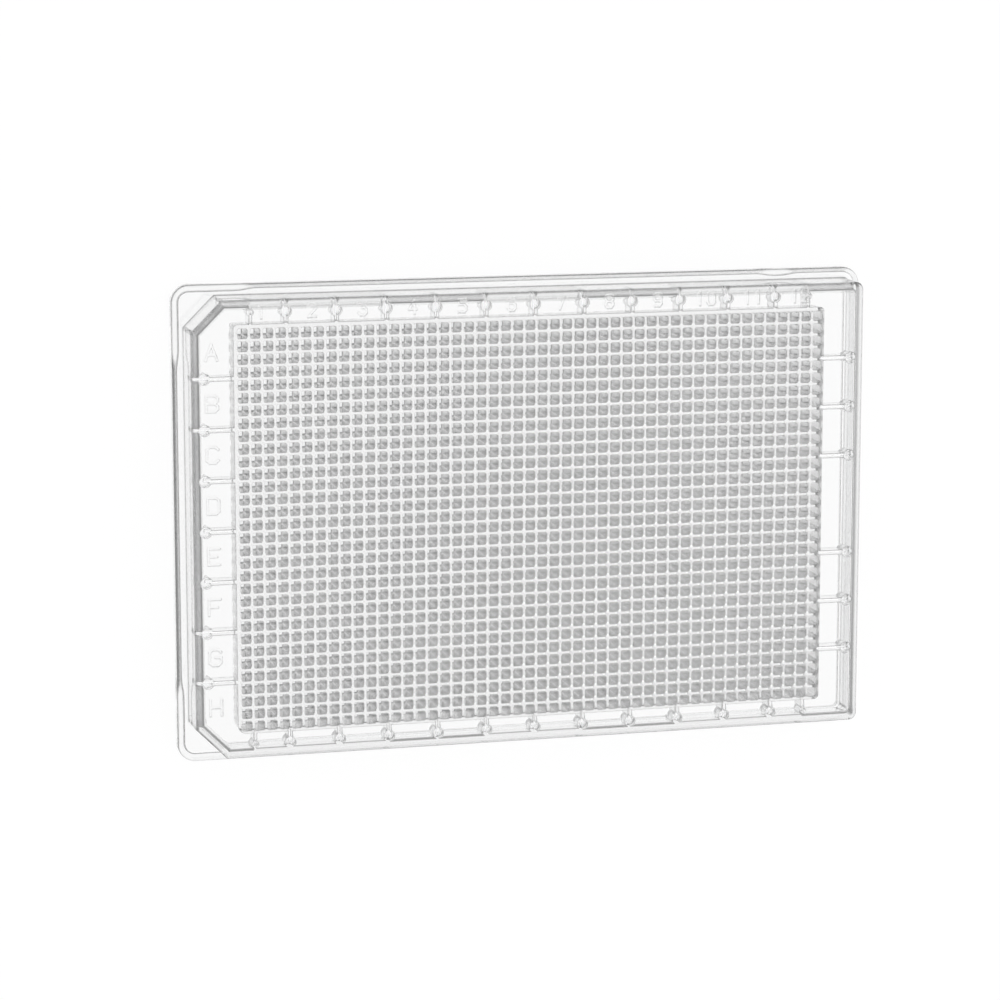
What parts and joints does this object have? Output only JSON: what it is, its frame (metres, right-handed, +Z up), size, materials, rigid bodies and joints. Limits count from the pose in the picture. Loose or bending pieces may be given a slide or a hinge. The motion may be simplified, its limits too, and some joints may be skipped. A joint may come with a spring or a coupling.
{
  "type": "well plate",
  "caption": "Flat clear microplate with a dense grid of small square wells, two cut key corners and a flanged skirt, for small-volume assays.",
  "frame": {"origin": "middle of the footprint, on the plane that the skirt's rim stands on", "axes": "+X along the long side towards the last column, +Y along the short side towards row A, +Z up out of the wells"},
  "size_m": [0.1278, 0.0854, 0.0104],
  "materials": {
    "clear_polystyrene": "glossy"
  },
  "bodies": {
    "root": {"well_plate": "clear_polystyrene"}
  },
  "joints": []
}
